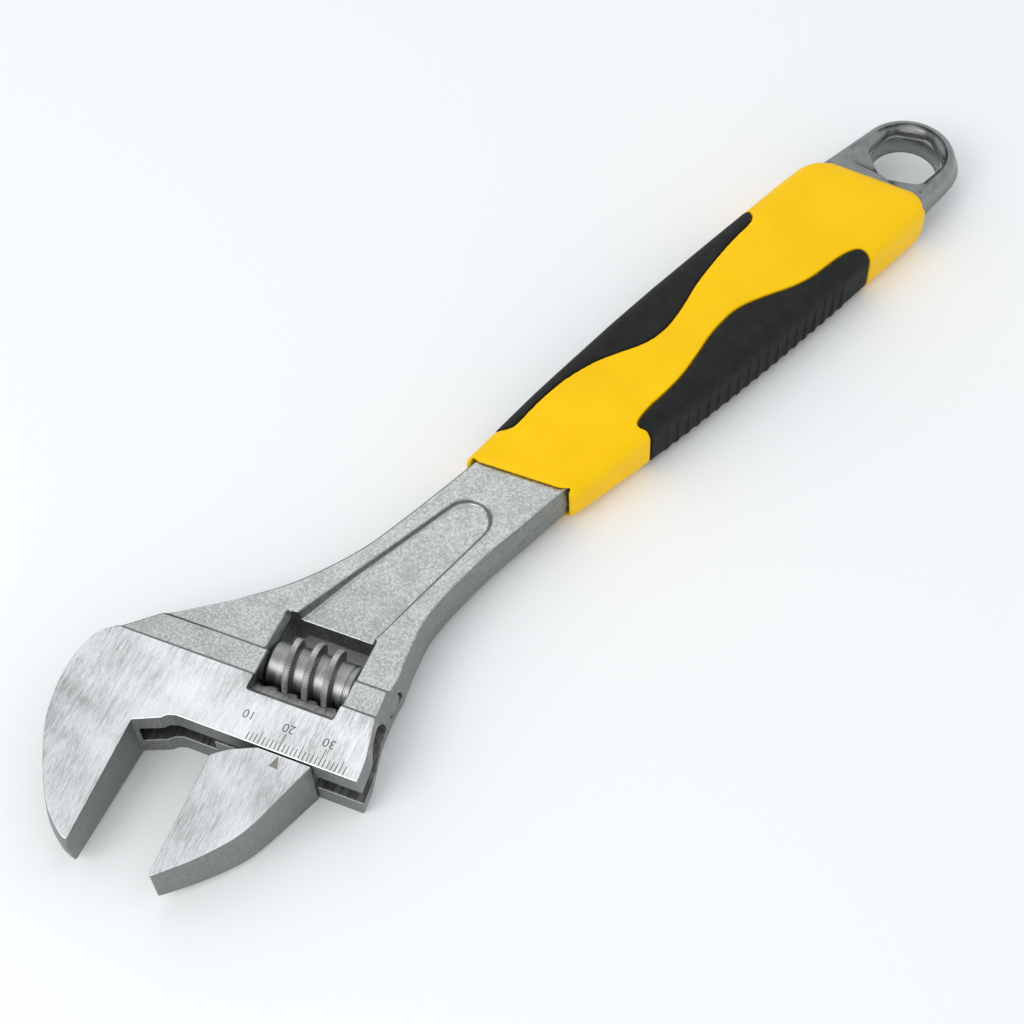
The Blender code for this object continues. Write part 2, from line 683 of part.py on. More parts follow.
def main():
    for obj in list(bpy.data.objects):
        bpy.data.objects.remove(obj)
    root = bpy.data.objects.new("wrench", None)
    bpy.context.scene.collection.objects.link(root)
    jaw_axis = pivot("jaw_slide", (JAW_OPENING, RIB_V), root)
    worm_axis = pivot("worm_spin", ((WINDOW_START + WINDOW_END) / 2, WORM_V), root)
    steel = material("satin_steel", (0.60, 0.61, 0.62), 0.38, 1.0)
    ground = material("ground_steel", (0.66, 0.66, 0.66), 0.30, 1.0)
    dark = material("worm_steel", (0.50, 0.51, 0.52), 0.35, 1.0)
    spring_steel = material("spring_steel", (0.42, 0.42, 0.43), 0.35, 1.0)
    pin_steel = material("pin_steel", (0.55, 0.56, 0.57), 0.35, 1.0)
    yellow = material("yellow_plastic", (0.95, 0.60, 0.0), 0.45, 0.0)
    black = material("black_rubber", (0.02, 0.02, 0.022), 0.65, 0.0)
    attach(make_body(), root, steel)
    attach(make_jaw(), jaw_axis, ground)
    attach(make_worm(), worm_axis, dark)
    attach(make_pin(), root, pin_steel)
    attach(make_spring(), root, spring_steel)
    attach(make_sleeve(), root, yellow)
    attach(make_pad(LEFT, "grip_pad_left"), root, black)
    attach(make_pad(RIGHT, "grip_pad_right"), root, black.copy())
    bpy.context.view_layer.update()
    corners = [o.matrix_world @ v.co for o in bpy.data.objects if o.type == "MESH" for v in o.data.vertices]
    low = [min(corner[axis] for corner in corners) for axis in range(3)]
    high = [max(corner[axis] for corner in corners) for axis in range(3)]
    root.location = (-(low[0] + high[0]) / 2, -(low[1] + high[1]) / 2, -low[2])


main()
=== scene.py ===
"""Looks of the adjustable wrench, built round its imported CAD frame.

Objects are in metres.  Places on the head are given in millimetres as (u, v, z): u from the fixed jaw's
face in the direction that the jaw opens, v from the jaws' inner corner towards the handle, z up from the
mid-plane.  A constant that is a length is in millimetres too, unless it is multiplied by MM or says metres.
"""

import json
import math

import bmesh
import bpy
from mathutils import Matrix, Vector
from mathutils.bvhtree import BVHTree


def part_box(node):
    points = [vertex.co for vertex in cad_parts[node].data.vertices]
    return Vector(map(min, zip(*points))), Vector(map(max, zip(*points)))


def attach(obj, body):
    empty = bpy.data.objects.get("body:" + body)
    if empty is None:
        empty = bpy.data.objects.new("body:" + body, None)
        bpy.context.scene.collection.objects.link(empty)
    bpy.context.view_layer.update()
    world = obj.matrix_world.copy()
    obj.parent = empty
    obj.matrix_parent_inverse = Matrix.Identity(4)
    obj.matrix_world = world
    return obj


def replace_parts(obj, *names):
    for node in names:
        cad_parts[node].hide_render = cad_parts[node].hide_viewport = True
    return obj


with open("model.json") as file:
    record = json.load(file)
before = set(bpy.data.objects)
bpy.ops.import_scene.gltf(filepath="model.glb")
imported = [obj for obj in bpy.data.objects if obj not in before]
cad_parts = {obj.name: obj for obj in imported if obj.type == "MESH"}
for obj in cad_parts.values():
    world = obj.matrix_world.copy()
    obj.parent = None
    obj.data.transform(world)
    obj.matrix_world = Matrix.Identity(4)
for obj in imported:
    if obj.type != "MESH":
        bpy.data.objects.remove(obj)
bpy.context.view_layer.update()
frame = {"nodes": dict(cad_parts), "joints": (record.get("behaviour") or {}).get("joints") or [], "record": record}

MM = 0.001
nodes = frame["nodes"]
joints = {joint["name"]: joint for joint in frame["joints"]}
mounts = {mount["name"]: mount for mount in frame["record"]["mounts"]}

# ---- The head's own coordinates ---------------------------------------------------------------------------
U = Vector(joints["jaw_slide"]["axis"])
V = Vector((-U.y, U.x, 0))
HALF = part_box("body")[1].z / 2
FACE_BACK = 12 * MM  # how far in front of the inner corner the fixed jaw's mount lies
CORNER = Vector(mounts["fixed_jaw_face"]["pos_m"]) + V * FACE_BACK
HEAD = Matrix(((U.x, V.x, 0, CORNER.x), (U.y, V.y, 0, CORNER.y), (0, 0, 1, HALF), (0, 0, 0, 1)))
TO_HEAD = HEAD.inverted()
HEAD_TURN = -math.atan2(U.y, U.x)
TOP = HALF / MM

WORM_V = (TO_HEAD @ Vector(joints["worm_spin"]["pos_m"])).y / MM
RIB_V, BORE_RADIUS = 17.2, 5.6  # the bore for the jaw's rib
FACE_END, BAND_END, SLOT_HALF = 20.4, 27.7, 2.8  # ends of the ground face and of the band, half of the slot
SCALE_EDGE = 4.5  # v of the head's front edge, along which the scale runs
WINDOW_U, WINDOW_V = (20.6, 42.5), (16.4, 39.8)

hole = next(o for o in frame["record"]["physics"]["openings"] if o["name"] == "hanging_hole")["box_m"]
ring_centre = (Vector(hole[0]) + Vector(hole[1])) / 2
ring_centre.z = HALF


def at(u, v, z=0.0):
    """The point in the row frame of a place on the head."""
    return HEAD @ Vector((u * MM, v * MM, z * MM))


# ---- Node trees -------------------------------------------------------------------------------------------
class Tree:
    """A short way to write a material's nodes."""

    def __init__(self, name, color, roughness, metallic=0.0):
        self.material = bpy.data.materials.new(name)
        self.material.use_nodes = True
        self.nodes = self.material.node_tree.nodes
        self.shader = self.nodes["Principled BSDF"]
        self.set("Base Color", (*color, 1))
        self.set("Roughness", roughness)
        self.set("Metallic", metallic)

    def set(self, socket, value):
        self.shader.inputs[socket].default_value = value

    def link(self, source, target):
        self.material.node_tree.links.new(source, target)

    def coordinates(self, scale, turned=False):
        """Object coordinates, stretched by a scale, and turned to the head's u and v if asked."""
        place = self.nodes.new("ShaderNodeTexCoord")
        turn = self.nodes.new("ShaderNodeMapping")
        turn.inputs["Rotation"].default_value = (0, 0, HEAD_TURN if turned else 0)
        self.link(place.outputs["Object"], turn.inputs["Vector"])
        stretch = self.nodes.new("ShaderNodeMapping")
        stretch.inputs["Scale"].default_value = scale
        self.link(turn.outputs["Vector"], stretch.inputs["Vector"])
        return stretch.outputs["Vector"]

    def noise(self, scale, detail, turned=False, rough=0.5):
        """Noise with its number of cells per metre along each axis."""
        node = self.nodes.new("ShaderNodeTexNoise")
        node.inputs["Scale"].default_value = 1.0
        node.inputs["Detail"].default_value = detail
        node.inputs["Roughness"].default_value = rough
        self.link(self.coordinates(scale, turned), node.inputs["Vector"])
        return node.outputs["Fac"]

    def spread(self, value, low, high, out_low, out_high):
        """The value, with its range from low to high taken to a new range."""
        node = self.nodes.new("ShaderNodeMapRange")
        limits = {"From Min": low, "From Max": high, "To Min": out_low, "To Max": out_high}
        for socket, number in limits.items():
            node.inputs[socket].default_value = number
        self.link(value, node.inputs["Value"])
        return node.outputs["Result"]

    def math(self, operation, a, b):
        node = self.nodes.new("ShaderNodeMath")
        node.operation = operation
        for socket, value in zip(node.inputs, (a, b)):
            if isinstance(value, (int, float)):
                socket.default_value = value
            else:
                self.link(value, socket)
        return node.outputs["Value"]

    def ramp(self, value, stops):
        """Colours the surface by a value, from stops of a place and a colour."""
        node = self.nodes.new("ShaderNodeValToRGB")
        elements = node.color_ramp.elements
        while len(elements) < len(stops):
            elements.new(0.5)
        for element, (place, color) in zip(elements, stops):
            element.position = place
            element.color = (*color, 1)
        self.link(value, node.inputs["Fac"])
        self.link(node.outputs["Color"], self.shader.inputs["Base Color"])

    def rough(self, value):
        self.link(value, self.shader.inputs["Roughness"])

    def bump(self, height, strength, distance):
        node = self.nodes.new("ShaderNodeBump")
        node.inputs["Strength"].default_value = strength
        node.inputs["Distance"].default_value = distance
        self.link(height, node.inputs["Height"])
        self.link(node.outputs["Normal"], self.shader.inputs["Normal"])


def grey(value, tint=(1.0, 1.0, 1.0)):
    return tuple(value * part for part in tint)


# ---- Materials --------------------------------------------------------------------------------------------
COOL, COOLER = (0.97, 1.0, 0.99), (0.95, 1.0, 0.98)  # faint tints of the plated steel


def ground_steel():
    """Ground face: fine scratches along v, with broader bands of tone."""
    tree = Tree("ground_steel", grey(0.8), 0.3, 1.0)
    fine = tree.noise((8500, 520, 520), 3, turned=True, rough=0.7)
    broad = tree.noise((1500, 150, 150), 3, turned=True, rough=0.6)
    cloud = tree.noise((70, 50, 60), 2)
    tone = tree.math("ADD", tree.math("MULTIPLY", fine, 0.42), tree.math("MULTIPLY", broad, 0.2))
    tone = tree.math("ADD", tone, tree.math("MULTIPLY", cloud, 0.38))
    tree.ramp(tone, [(0.38, grey(0.36)), (0.46, grey(0.62)), (0.53, grey(0.83)), (0.62, grey(0.96))])
    tree.rough(tree.spread(broad, 0.3, 0.7, 0.42, 0.26))
    tree.bump(fine, 0.35, 0.00006)
    return tree.material


def cast_steel():
    """Satin chrome over the forging's grain."""
    tree = Tree("cast_steel", grey(0.74), 0.34, 1.0)
    grain = tree.noise((1500, 1500, 1500), 2, rough=0.55)
    fine = tree.noise((3600, 3600, 3600), 1)
    mixed = tree.math("ADD", tree.math("MULTIPLY", grain, 0.7), tree.math("MULTIPLY", fine, 0.3))
    cloud = tree.noise((160, 160, 160), 3)
    mixed = tree.math("ADD", tree.math("MULTIPLY", mixed, 0.8), tree.math("MULTIPLY", cloud, 0.2))
    tree.ramp(mixed, [(0.38, grey(0.37, COOL)), (0.5, grey(0.50, COOL)), (0.6, grey(0.66, COOL))])
    tree.rough(tree.spread(fine, 0.3, 0.7, 0.26, 0.46))
    tree.bump(mixed, 0.55, 0.0002)
    return tree.material


def side_steel():
    """The forging's plain sides, satin and finely mottled; their base colour is darker than the top faces' as
    painted shade for faces turned away from the sky.
    """
    tree = Tree("side_steel", grey(0.27), 0.42, 1.0)
    grain = tree.noise((900, 900, 900), 3)
    tree.ramp(grain, [(0.3, grey(0.22, COOLER)), (0.7, grey(0.31, COOLER))])
    tree.rough(tree.spread(grain, 0.3, 0.7, 0.38, 0.5))
    tree.bump(grain, 0.2, 0.00008)
    return tree.material


def ring_steel():
    """The ring's darker satin, uneven from the forging."""
    tree = Tree("ring_steel", grey(0.28), 0.3, 1.0)
    grain = tree.noise((420, 420, 420), 3)
    tree.ramp(grain, [(0.3, grey(0.24, COOL)), (0.7, grey(0.33, COOL))])
    tree.rough(tree.spread(grain, 0.3, 0.7, 0.24, 0.42))
    tree.bump(grain, 0.16, 0.0002)
    return tree.material


def milled_steel():
    """Inside the slot, the bore and the window: darker, with the cutter's lines."""
    tree = Tree("milled_steel", grey(0.3), 0.45, 1.0)
    lines = tree.noise((2600, 300, 900), 2, turned=True)
    tree.ramp(lines, [(0.35, grey(0.2)), (0.65, grey(0.38))])
    tree.rough(tree.spread(lines, 0.3, 0.7, 0.36, 0.55))
    tree.bump(lines, 0.4, 0.0001)
    return tree.material


def turned_steel(name, low, high):
    """Turned steel, with lathe lines round its axis along u."""
    tree = Tree(name, grey(high), 0.3, 1.0)
    lines = tree.noise((5200, 90, 90), 3, turned=True)
    tree.ramp(lines, [(0.35, grey(low)), (0.65, grey(high))])
    tree.rough(tree.spread(lines, 0.3, 0.7, 0.32, 0.48))
    tree.bump(lines, 0.25, 0.00006)
    return tree.material


def yellow_plastic():
    """Semi-matte moulded plastic with a faint grain."""
    tree = Tree("yellow_plastic", (0.98, 0.58, 0.0), 0.42)
    grain = tree.noise((2400, 2400, 2400), 2)
    cloud = tree.noise((60, 60, 60), 3)
    tree.ramp(cloud, [(0.3, (0.93, 0.545, 0.0)), (0.7, (1.0, 0.60, 0.002))])
    tree.rough(tree.spread(grain, 0.3, 0.7, 0.40, 0.50))
    tree.bump(grain, 0.12, 0.00005)
    tree.set("Specular IOR Level", 0.14)
    return tree.material


def black_rubber():
    """Soft matt rubber."""
    tree = Tree("black_rubber", grey(0.02), 0.62)
    grain = tree.noise((3000, 3000, 3000), 2)
    cloud = tree.noise((300, 300, 300), 3)
    tree.ramp(cloud, [(0.3, grey(0.006)), (0.7, grey(0.013))])
    tree.set("Specular IOR Level", 0.28)
    tree.rough(tree.spread(grain, 0.3, 0.7, 0.6, 0.78))
    tree.bump(grain, 0.3, 0.00006)
    return tree.material


def mark_paint(name, value, tint):
    """Dull paint of the scale's marks and of the pointer."""
    tree = Tree(name, grey(value, tint), 0.6)
    cloud = tree.noise((900, 900, 900), 2)
    tree.ramp(cloud, [(0.3, grey(value * 0.8, tint)), (0.7, grey(value * 1.2, tint))])
    return tree.material


# ---- Meshes -----------------------------------------------------------------------------------------------
WELD = 0.002 * MM  # vertices nearer than this are one
FLAT_ANGLE, SHARP_ANGLE = 0.7, 28  # degrees: facets under the first are joined, edges over the second rounded
NORMAL_WEIGHT = 60  # how strongly large faces keep their shading flat


def add_piece(name, mesh, body):
    """A visible piece that rides on a body."""
    piece = bpy.data.objects.new(name, mesh)
    bpy.context.scene.collection.objects.link(piece)
    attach(piece, body)
    return piece


def mesh_from(bm, name):
    """A mesh from a bmesh, which is freed, with its normals outwards."""
    bmesh.ops.recalc_face_normals(bm, faces=bm.faces)
    mesh = bpy.data.meshes.new(name)
    bm.to_mesh(mesh)
    bm.free()
    return mesh


def smoothed(mesh, sharp):
    """Shades the mesh smooth, apart from edges sharper than an angle in degrees."""
    mesh.shade_smooth()
    mesh.set_sharp_from_angle(angle=math.radians(sharp))


def surface(node):
    """A CAD node's surface, to cast rays onto."""
    bm = bmesh.new()
    bm.from_mesh(nodes[node].data)
    tree = BVHTree.FromBMesh(bm)
    bm.free()
    return tree


def clean_mesh(node):
    """A CAD node's mesh with its flat facets joined, ready for bevels."""
    bm = bmesh.new()
    bm.from_mesh(nodes[node].data)
    bmesh.ops.remove_doubles(bm, verts=bm.verts, dist=WELD)
    bmesh.ops.dissolve_limit(bm, angle_limit=math.radians(FLAT_ANGLE), verts=bm.verts, edges=bm.edges)
    return mesh_from(bm, node + "_form")


def weigh_edges(mesh, share):
    """Marks the edges to round: each sharp one, by its share of the full width."""
    bm = bmesh.new()
    bm.from_mesh(mesh)
    layer = bm.edges.layers.float.new("bevel_weight_edge")
    for edge in bm.edges:
        if edge.is_manifold and edge.calc_face_angle() > math.radians(SHARP_ANGLE):
            edge[layer] = share((edge.verts[0].co + edge.verts[1].co) / 2)
    bm.to_mesh(mesh)
    bm.free()


def eased(mesh, width, segments=2, share=lambda place: 1.0):
    """The mesh with its sharp edges rounded."""
    weigh_edges(mesh, share)
    helper = bpy.data.objects.new("helper", mesh)
    bpy.context.scene.collection.objects.link(helper)
    mesh.shade_smooth()
    bevel = helper.modifiers.new("bevel", "BEVEL")
    bevel.width = width
    bevel.segments = segments
    bevel.limit_method = "WEIGHT"
    bevel.use_clamp_overlap = False
    bevel.miter_outer = "MITER_ARC"
    weighted = helper.modifiers.new("weighted", "WEIGHTED_NORMAL")
    weighted.keep_sharp = True
    weighted.weight = NORMAL_WEIGHT
    graph = bpy.context.evaluated_depsgraph_get()
    made = bpy.data.meshes.new_from_object(helper.evaluated_get(graph))
    bpy.data.objects.remove(helper)
    return made


def skin(bm, rings, endless=False):
    """Adds a body through rings of points, all of one count: with two ends, or endless like a tyre."""
    rows = [[bm.verts.new(point) for point in ring] for ring in rings]
    for row, following in zip(rows, rows[1:] + rows[:1] if endless else rows[1:]):
        for i, vert in enumerate(row):
            j = (i + 1) % len(row)
            bm.faces.new((vert, row[j], following[j], following[i]))
    if not endless:
        bm.faces.new(rows[0][::-1])
        bm.faces.new(rows[-1])


def lofted(rings):
    """A bmesh of one body through rings of points."""
    bm = bmesh.new()
    skin(bm, rings)
    return bm


# ---- Body and jaw -----------------------------------------------------------------------------------------
EDGE = 0.5 * MM  # how wide the shank's edges are rounded
JAW_EDGE, PIN_EDGE, PIN_SEGMENTS = 0.3 * MM, 0.4 * MM, 3
FINE_SHARE = 0.75  # the head's edges are this much finer than the shank's
SHANK_V = WINDOW_V[1] + 3  # where the shank's edges begin
BORE_START = -4  # u where the rib's bore begins
NEAR = 0.05  # how far from its stated place a face still belongs to the window
SLOT_NEAR = 0.06  # the same for the slot
LEVEL = 0.8  # a face whose normal has more than this along z lies flat
SLOPED = (0.3, 0.95)  # the same for a face that slopes
FORGED_TOP = 0.55, 3  # least share along z and least height of the forging's upper and lower faces
JAW_ROOT = 40  # u past which the moving jaw's foot is milled
BODY_LOOKS, JAW_LOOKS = ("cast", "ground", "side", "milled"), ("ground", "side", "milled")

RING_RADIUS, RING_HALF, HOLE_RADIUS, HEX_HALF = 13.3, 5.0, 9.1, 9.35
RING_SIDES, RIM_STEPS, RING_SHARP = 240, 5, 50  # the last is in degrees
DRAFT = 1.1  # how far the sides bulge at the parting line
FAR = 100.0  # further out than any side
RING_REACH = 24.0  # how far the ring's form runs under the grip, from the hole's centre
RING_CUT = 20.0  # where the forging is cut off for it
SPLAY_AT = 16.0  # where the handle's width is read
HEX_FLOOR = 1.2  # height of the ledge under the hexagon, from the mid-plane
RIM_ROUND = 2.3  # radius of the rim's rounded edge
RIM_WALL = 1.2  # least width between the slope and the ring's edge
LIP_RADIUS = 11.0  # where the slope in towards the hexagon begins
HEX_CORNER = 10.2  # the hexagon's corners are cut at this radius
HOLE_CHAMFER = 0.6  # at the hole's lower edge
POCKET_REACH, POCKET_ANGLE, POCKET_WIDTH = 4.6, 2.36, 0.42  # pockets beside the hexagon; angles in radians


def body_material(centre, normal):
    """The look that a face of the body wears, by its place and normal."""
    u, v, z = (TO_HEAD @ centre) / MM
    n = TO_HEAD.to_3x3() @ normal
    depth = abs(z)
    in_bore = math.hypot(v - RIB_V, z) < BORE_RADIUS and u > BORE_START
    in_slot = depth < SLOT_HALF + SLOT_NEAR and 0 < v < RIB_V and u > 0 and abs(n.x) < 0.98
    in_window = (WINDOW_U[0] - NEAR < u < WINDOW_U[1] + NEAR
                 and WINDOW_V[0] - NEAR < v < WINDOW_V[1] + NEAR)
    if in_bore or in_slot or (in_window and abs(n.z) < LEVEL):
        return "milled"
    # The steps' slopes and the panel's right-hand wall wear the sides' darker look as painted shade, to show as
    # the dark shade lines along them.
    sloped = SLOPED[0] < abs(n.z) < SLOPED[1]
    if sloped and (FACE_END - 0.5 < v < BAND_END + 1.5 or (n.x < -0.2 and v > WINDOW_V[1])):
        return "side"
    if abs(n.z) > FORGED_TOP[0] and depth > FORGED_TOP[1]:
        return "ground" if v < FACE_END + 0.25 and abs(n.z) > LEVEL else "cast"
    # Faces that don't face up take the sides' look, whose darker tone is painted shade.
    return "side"


def dressed(mesh, looks, names, choose):
    """Gives each face the look that choose names by its place and normal."""
    mesh.materials.clear()
    for name in names:
        mesh.materials.append(looks[name])
    for face in mesh.polygons:
        face.material_index = names.index(choose(face.center, face.normal))
    return mesh


def polygon_radius(angle, half, count, turn):
    """Distance to the side of a regular polygon, from its half width over flats."""
    part = 2 * math.pi / count
    return half / math.cos((angle - turn + part / 2) % part - part / 2)


def ring_outline(angle, side_slope):
    """Distance from the hole's centre to the ring's edge, or to the cut under the grip."""
    x, y = math.cos(angle), abs(math.sin(angle))
    if x >= side_slope:
        return RING_RADIUS
    outwards = y * math.cos(math.asin(side_slope)) + x * side_slope
    straight = RING_RADIUS / outwards if outwards > 0.05 else FAR
    return min(straight, RING_REACH / -x if x < -0.01 else straight)


def handle_slope():
    """How the handle's sides splay under the grip: the sine of their angle to its centreline."""
    start = Vector((ring_centre.x - SPLAY_AT * MM, ring_centre.y - FAR * MM, HALF))
    side = surface("body").ray_cast(start, Vector((0, 1, 0)))[0]
    half = (ring_centre.y - side.y) / MM - DRAFT
    return math.sin(math.acos(RING_RADIUS / math.hypot(half, SPLAY_AT)) - math.atan2(SPLAY_AT, half))


def ring_section(angle, side_slope):
    """The ring's closed section at an angle round the hole, in (radius, height)."""
    edge = ring_outline(angle, side_slope)
    off = abs(math.remainder(abs(math.remainder(angle, 2 * math.pi)) - POCKET_ANGLE, 2 * math.pi))
    pocket = POCKET_REACH * math.exp(-(off / POCKET_WIDTH) ** 2)
    lip = min(LIP_RADIUS + pocket, edge - RIM_WALL)
    hexagon = min(polygon_radius(angle, HEX_HALF, 6, math.pi / 6), HEX_CORNER)
    rim = []
    for k in range(RIM_STEPS + 1):
        turn = math.pi / 2 * k / RIM_STEPS
        radius = edge - RIM_ROUND * (1 - math.cos(turn))
        rim.append((radius, RING_HALF - RIM_ROUND * (1 - math.sin(turn))))
    crest = min(edge - RIM_ROUND, lip + 0.5)
    # The numbers below are the steps of its profile, down and in from the ring's face to the hole.
    slope = [(crest, RING_HALF), (lip, RING_HALF - 0.25), ((lip + hexagon) / 2, RING_HALF - 1.2)]
    wall = [(hexagon, RING_HALF - 1.9), (hexagon - 0.08, RING_HALF - 2.2),
            (hexagon - 0.1, HEX_FLOOR + 0.2), (hexagon - 0.3, HEX_FLOOR)]
    ledge = [(HOLE_RADIUS + 0.15, HEX_FLOOR), (HOLE_RADIUS, HEX_FLOOR - 0.25)]
    lower = [(HOLE_RADIUS, HOLE_CHAMFER - RING_HALF), (HOLE_RADIUS + HOLE_CHAMFER, -RING_HALF),
             (crest, -RING_HALF)]
    lower += [(r, -z) for r, z in reversed(rim)]
    return [(edge + DRAFT, 0)] + rim + slope + wall + ledge + lower


def ring_form(side_slope):
    """The hanging ring: a rounded rim, a slope in towards a hexagon, and a round hole under it."""
    rings = []
    for i in range(RING_SIDES):
        angle = 2 * math.pi * i / RING_SIDES
        rings.append([ring_centre + Vector((r * math.cos(angle), r * math.sin(angle), z)) * MM
                      for r, z in ring_section(angle, side_slope)])
    bm = bmesh.new()
    skin(bm, rings, endless=True)
    mesh = mesh_from(bm, "ring_form")
    smoothed(mesh, RING_SHARP)
    return mesh


def without_ring(mesh):
    """The forging cut off under the grip, where the ring's own form takes over."""
    bm = bmesh.new()
    bm.from_mesh(mesh)
    cut = ring_centre.x - RING_CUT * MM
    everything = bm.verts[:] + bm.edges[:] + bm.faces[:]
    made = bmesh.ops.bisect_plane(bm, geom=everything, plane_co=(cut, 0, 0), plane_no=(1, 0, 0),
                                  clear_outer=True)
    rim = [part for part in made["geom_cut"] if isinstance(part, bmesh.types.BMEdge)]
    bmesh.ops.holes_fill(bm, edges=rim)
    return mesh_from(bm, "forging")


def edge_share(place):
    """How round one of the forging's edges is, as a share of the shank's."""
    return 1.0 if (TO_HEAD @ place).y / MM > SHANK_V else FINE_SHARE


def make_body(looks):
    ring = dressed(ring_form(handle_slope()), looks, ("ring",), lambda centre, normal: "ring")
    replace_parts(add_piece("hanging_ring", ring, "wrench_body"), "body")
    mesh = without_ring(eased(clean_mesh("body"), EDGE, share=edge_share))
    dressed(mesh, looks, BODY_LOOKS, body_material)
    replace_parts(add_piece("forged_body", mesh, "wrench_body"), "body")


def jaw_material(centre, normal):
    """The look that a face of the moving jaw wears, by its place and normal."""
    u, v, z = (TO_HEAD @ centre) / MM
    n = TO_HEAD.to_3x3() @ normal
    if v > SCALE_EDGE - 0.35 or (abs(z) < SLOT_HALF and v > SCALE_EDGE - 2 and u > JAW_ROOT):
        return "milled"
    # Faces that don't lie flat take the sides' look, whose darker tone is painted shade.
    return "ground" if abs(n.z) > LEVEL else "side"


def make_jaw(looks):
    mesh = eased(clean_mesh("movable_jaw"), JAW_EDGE)
    dressed(mesh, looks, JAW_LOOKS, jaw_material)
    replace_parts(add_piece("sliding_jaw_form", mesh, "sliding_jaw"), "movable_jaw")


# ---- Worm, pin and spring ---------------------------------------------------------------------------------
WORM_RADIUS, WORM_CORE, WORM_PITCH, WORM_TURNS = 8.0, 5.9, 5.0, 3
THREAD_START, THREAD_CREST, THREAD_ROOT = 24.2, 1.6, 2.6
THREAD_SUNK = 0.3  # how deep the thread's foot lies in the core
THREAD_CHAMFER, THREAD_BREAK = 0.25, 0.18  # height and width of the chamfer at the crest
FADE, FADE_START = 6, 0.02  # how fast the thread rises and falls at its ends, per turn
WORM_ENDS = (WINDOW_U[0] + 0.3, WINDOW_U[1] - 0.3)
WORM_SIDES = 96
GROOVE_DEPTH, GROOVE = 0.22, (1.9, 1.75, 1.5, 1.35)  # a fine groove, and its corners' distances from the end
START_CHAMFER, END_CHAMFER = 0.5, 0.4
KNURLS, KNURL_DEPTH, KNURL_STEPS = 80, 0.2, 4
PIN_BORE, SPRING_POCKET, SPRING_LENGTH = 2.5, 4.3, 4.6
CAP_RADIUS, CAP_LENGTH, CAP_SUNK, CAP_DOME, CAP_SIDES = 2.95, 3.5, 0.9, 0.6, 40
CAP_CLEAR = 0.8  # how far beside the cap the head's end is read
CAP_TURNS = (0, 0.5, 0.95, 1.3, 1.55)  # steps over the dome, in radians
CAP_CENTRE = 0.02  # radius left open at the cap's root
COIL_RADIUS, WIRE_RADIUS, WIRE_SIDES, COILS, COIL_STEPS = 3.6, 0.36, 8, 3.5, 40


def revolved(bm, section, sides):
    """Adds a closed (u, radius) section turned about the worm's axis."""
    rings = []
    for i in range(sides):
        angle = 2 * math.pi * i / sides
        rings.append([at(u, WORM_V + r * math.cos(angle), r * math.sin(angle)) for u, r in section])
    skin(bm, rings, endless=True)


def thread_rings():
    """Sections along the worm's thread, whose crest is cut by the knurl."""
    steps = KNURLS * KNURL_STEPS * WORM_TURNS
    for step in range(steps + 1):
        turn = WORM_TURNS * step / steps
        angle = 2 * math.pi * turn
        fade = min(1.0, FADE * (turn + FADE_START), FADE * (WORM_TURNS + FADE_START - turn))
        cut = KNURL_DEPTH if step % KNURL_STEPS < KNURL_STEPS / 2 else 0.0
        top = WORM_CORE + (WORM_RADIUS - WORM_CORE) * fade
        u = THREAD_START + THREAD_CREST / 2 + WORM_PITCH * turn
        half, foot = THREAD_CREST / 2, THREAD_ROOT / 2 + 0.1
        section = [(-foot, WORM_CORE - THREAD_SUNK), (foot, WORM_CORE - THREAD_SUNK),
                   (half, top - THREAD_CHAMFER), (half - THREAD_BREAK, top - cut),
                   (THREAD_BREAK - half, top - cut), (-half, top - THREAD_CHAMFER)]
        yield [at(u + du, WORM_V + r * math.cos(angle), r * math.sin(angle)) for du, r in section]


def make_worm(look):
    """The worm: a knurled thread on a core bored for its pin and its spring."""
    bm = lofted(thread_rings())
    start, end = WORM_ENDS
    floor = WORM_CORE - GROOVE_DEPTH
    front = [(start, WORM_CORE - START_CHAMFER), (start + START_CHAMFER, WORM_CORE)]
    groove = [(end - back, r) for back, r in zip(GROOVE, (WORM_CORE, floor, floor, WORM_CORE))]
    rear = [(end - END_CHAMFER, WORM_CORE), (end, WORM_CORE - END_CHAMFER)]
    pocket = [(end, SPRING_POCKET), (end - SPRING_LENGTH, SPRING_POCKET)]
    bore = [(end - SPRING_LENGTH, PIN_BORE), (start, PIN_BORE)]
    revolved(bm, front + groove + rear + pocket + bore, WORM_SIDES)
    mesh = mesh_from(bm, "worm_form")
    smoothed(mesh, SHARP_ANGLE)
    mesh.materials.append(look)
    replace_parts(add_piece("worm_form", mesh, "adjusting_worm"), "worm")


def head_end(v):
    """Where the head ends along u, at the mid-plane."""
    return (TO_HEAD @ surface("body").ray_cast(at(FAR, v), -U)[0]).x / MM


def make_pin(look):
    """The pin, with a domed cap that fills its hole in the head's end."""
    beside = CAP_RADIUS + CAP_CLEAR
    end = (head_end(WORM_V - beside) + head_end(WORM_V + beside)) / 2
    root = end - CAP_LENGTH
    dome = [(end - CAP_SUNK + CAP_DOME * math.sin(turn), CAP_RADIUS * math.cos(turn)) for turn in CAP_TURNS]
    cap = bmesh.new()
    revolved(cap, [(root, CAP_CENTRE), (root, CAP_RADIUS)] + dome, CAP_SIDES)
    cap_mesh = mesh_from(cap, "pin_cap")
    cap_mesh.shade_smooth()
    cap_mesh.materials.append(look)
    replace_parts(add_piece("pin_cap", cap_mesh, "wrench_body"), "worm_pin")
    mesh = eased(clean_mesh("worm_pin"), PIN_EDGE, PIN_SEGMENTS)
    mesh.materials.clear()
    mesh.materials.append(look)
    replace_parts(add_piece("pin_form", mesh, "wrench_body"), "worm_pin")


